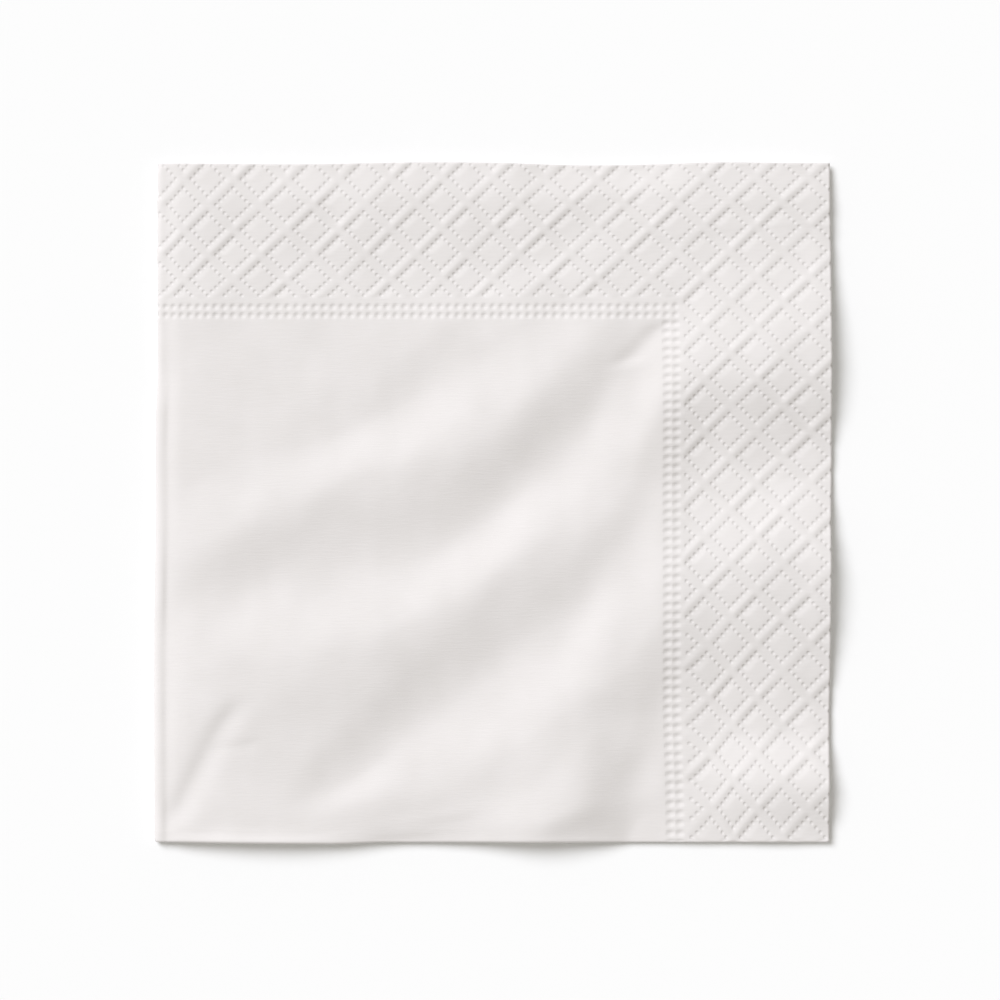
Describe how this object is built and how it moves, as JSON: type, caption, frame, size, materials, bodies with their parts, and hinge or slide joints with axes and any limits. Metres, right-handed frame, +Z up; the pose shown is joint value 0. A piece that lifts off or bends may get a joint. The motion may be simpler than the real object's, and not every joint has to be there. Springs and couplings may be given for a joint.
{
  "type": "paper napkin",
  "caption": "Quarter-folded square paper napkin, a soft sheet lying flat, with a billowed plain panel inside an embossed border of diamonds and bead rows.",
  "frame": {"origin": "middle of the outline's bounding box, at the height of the table it lies on", "axes": "+Z is up, through the folded sheet; +X runs from the left fold to the right cut edges; +Y runs from the bottom fold to the top cut edges"},
  "size_m": [0.165, 0.1665, 0.0055],
  "materials": {
    "tissue": "white embossed two-ply tissue, matt, finely creped"
  },
  "bodies": {
    "root": {"napkin": "tissue"}
  },
  "joints": []
}
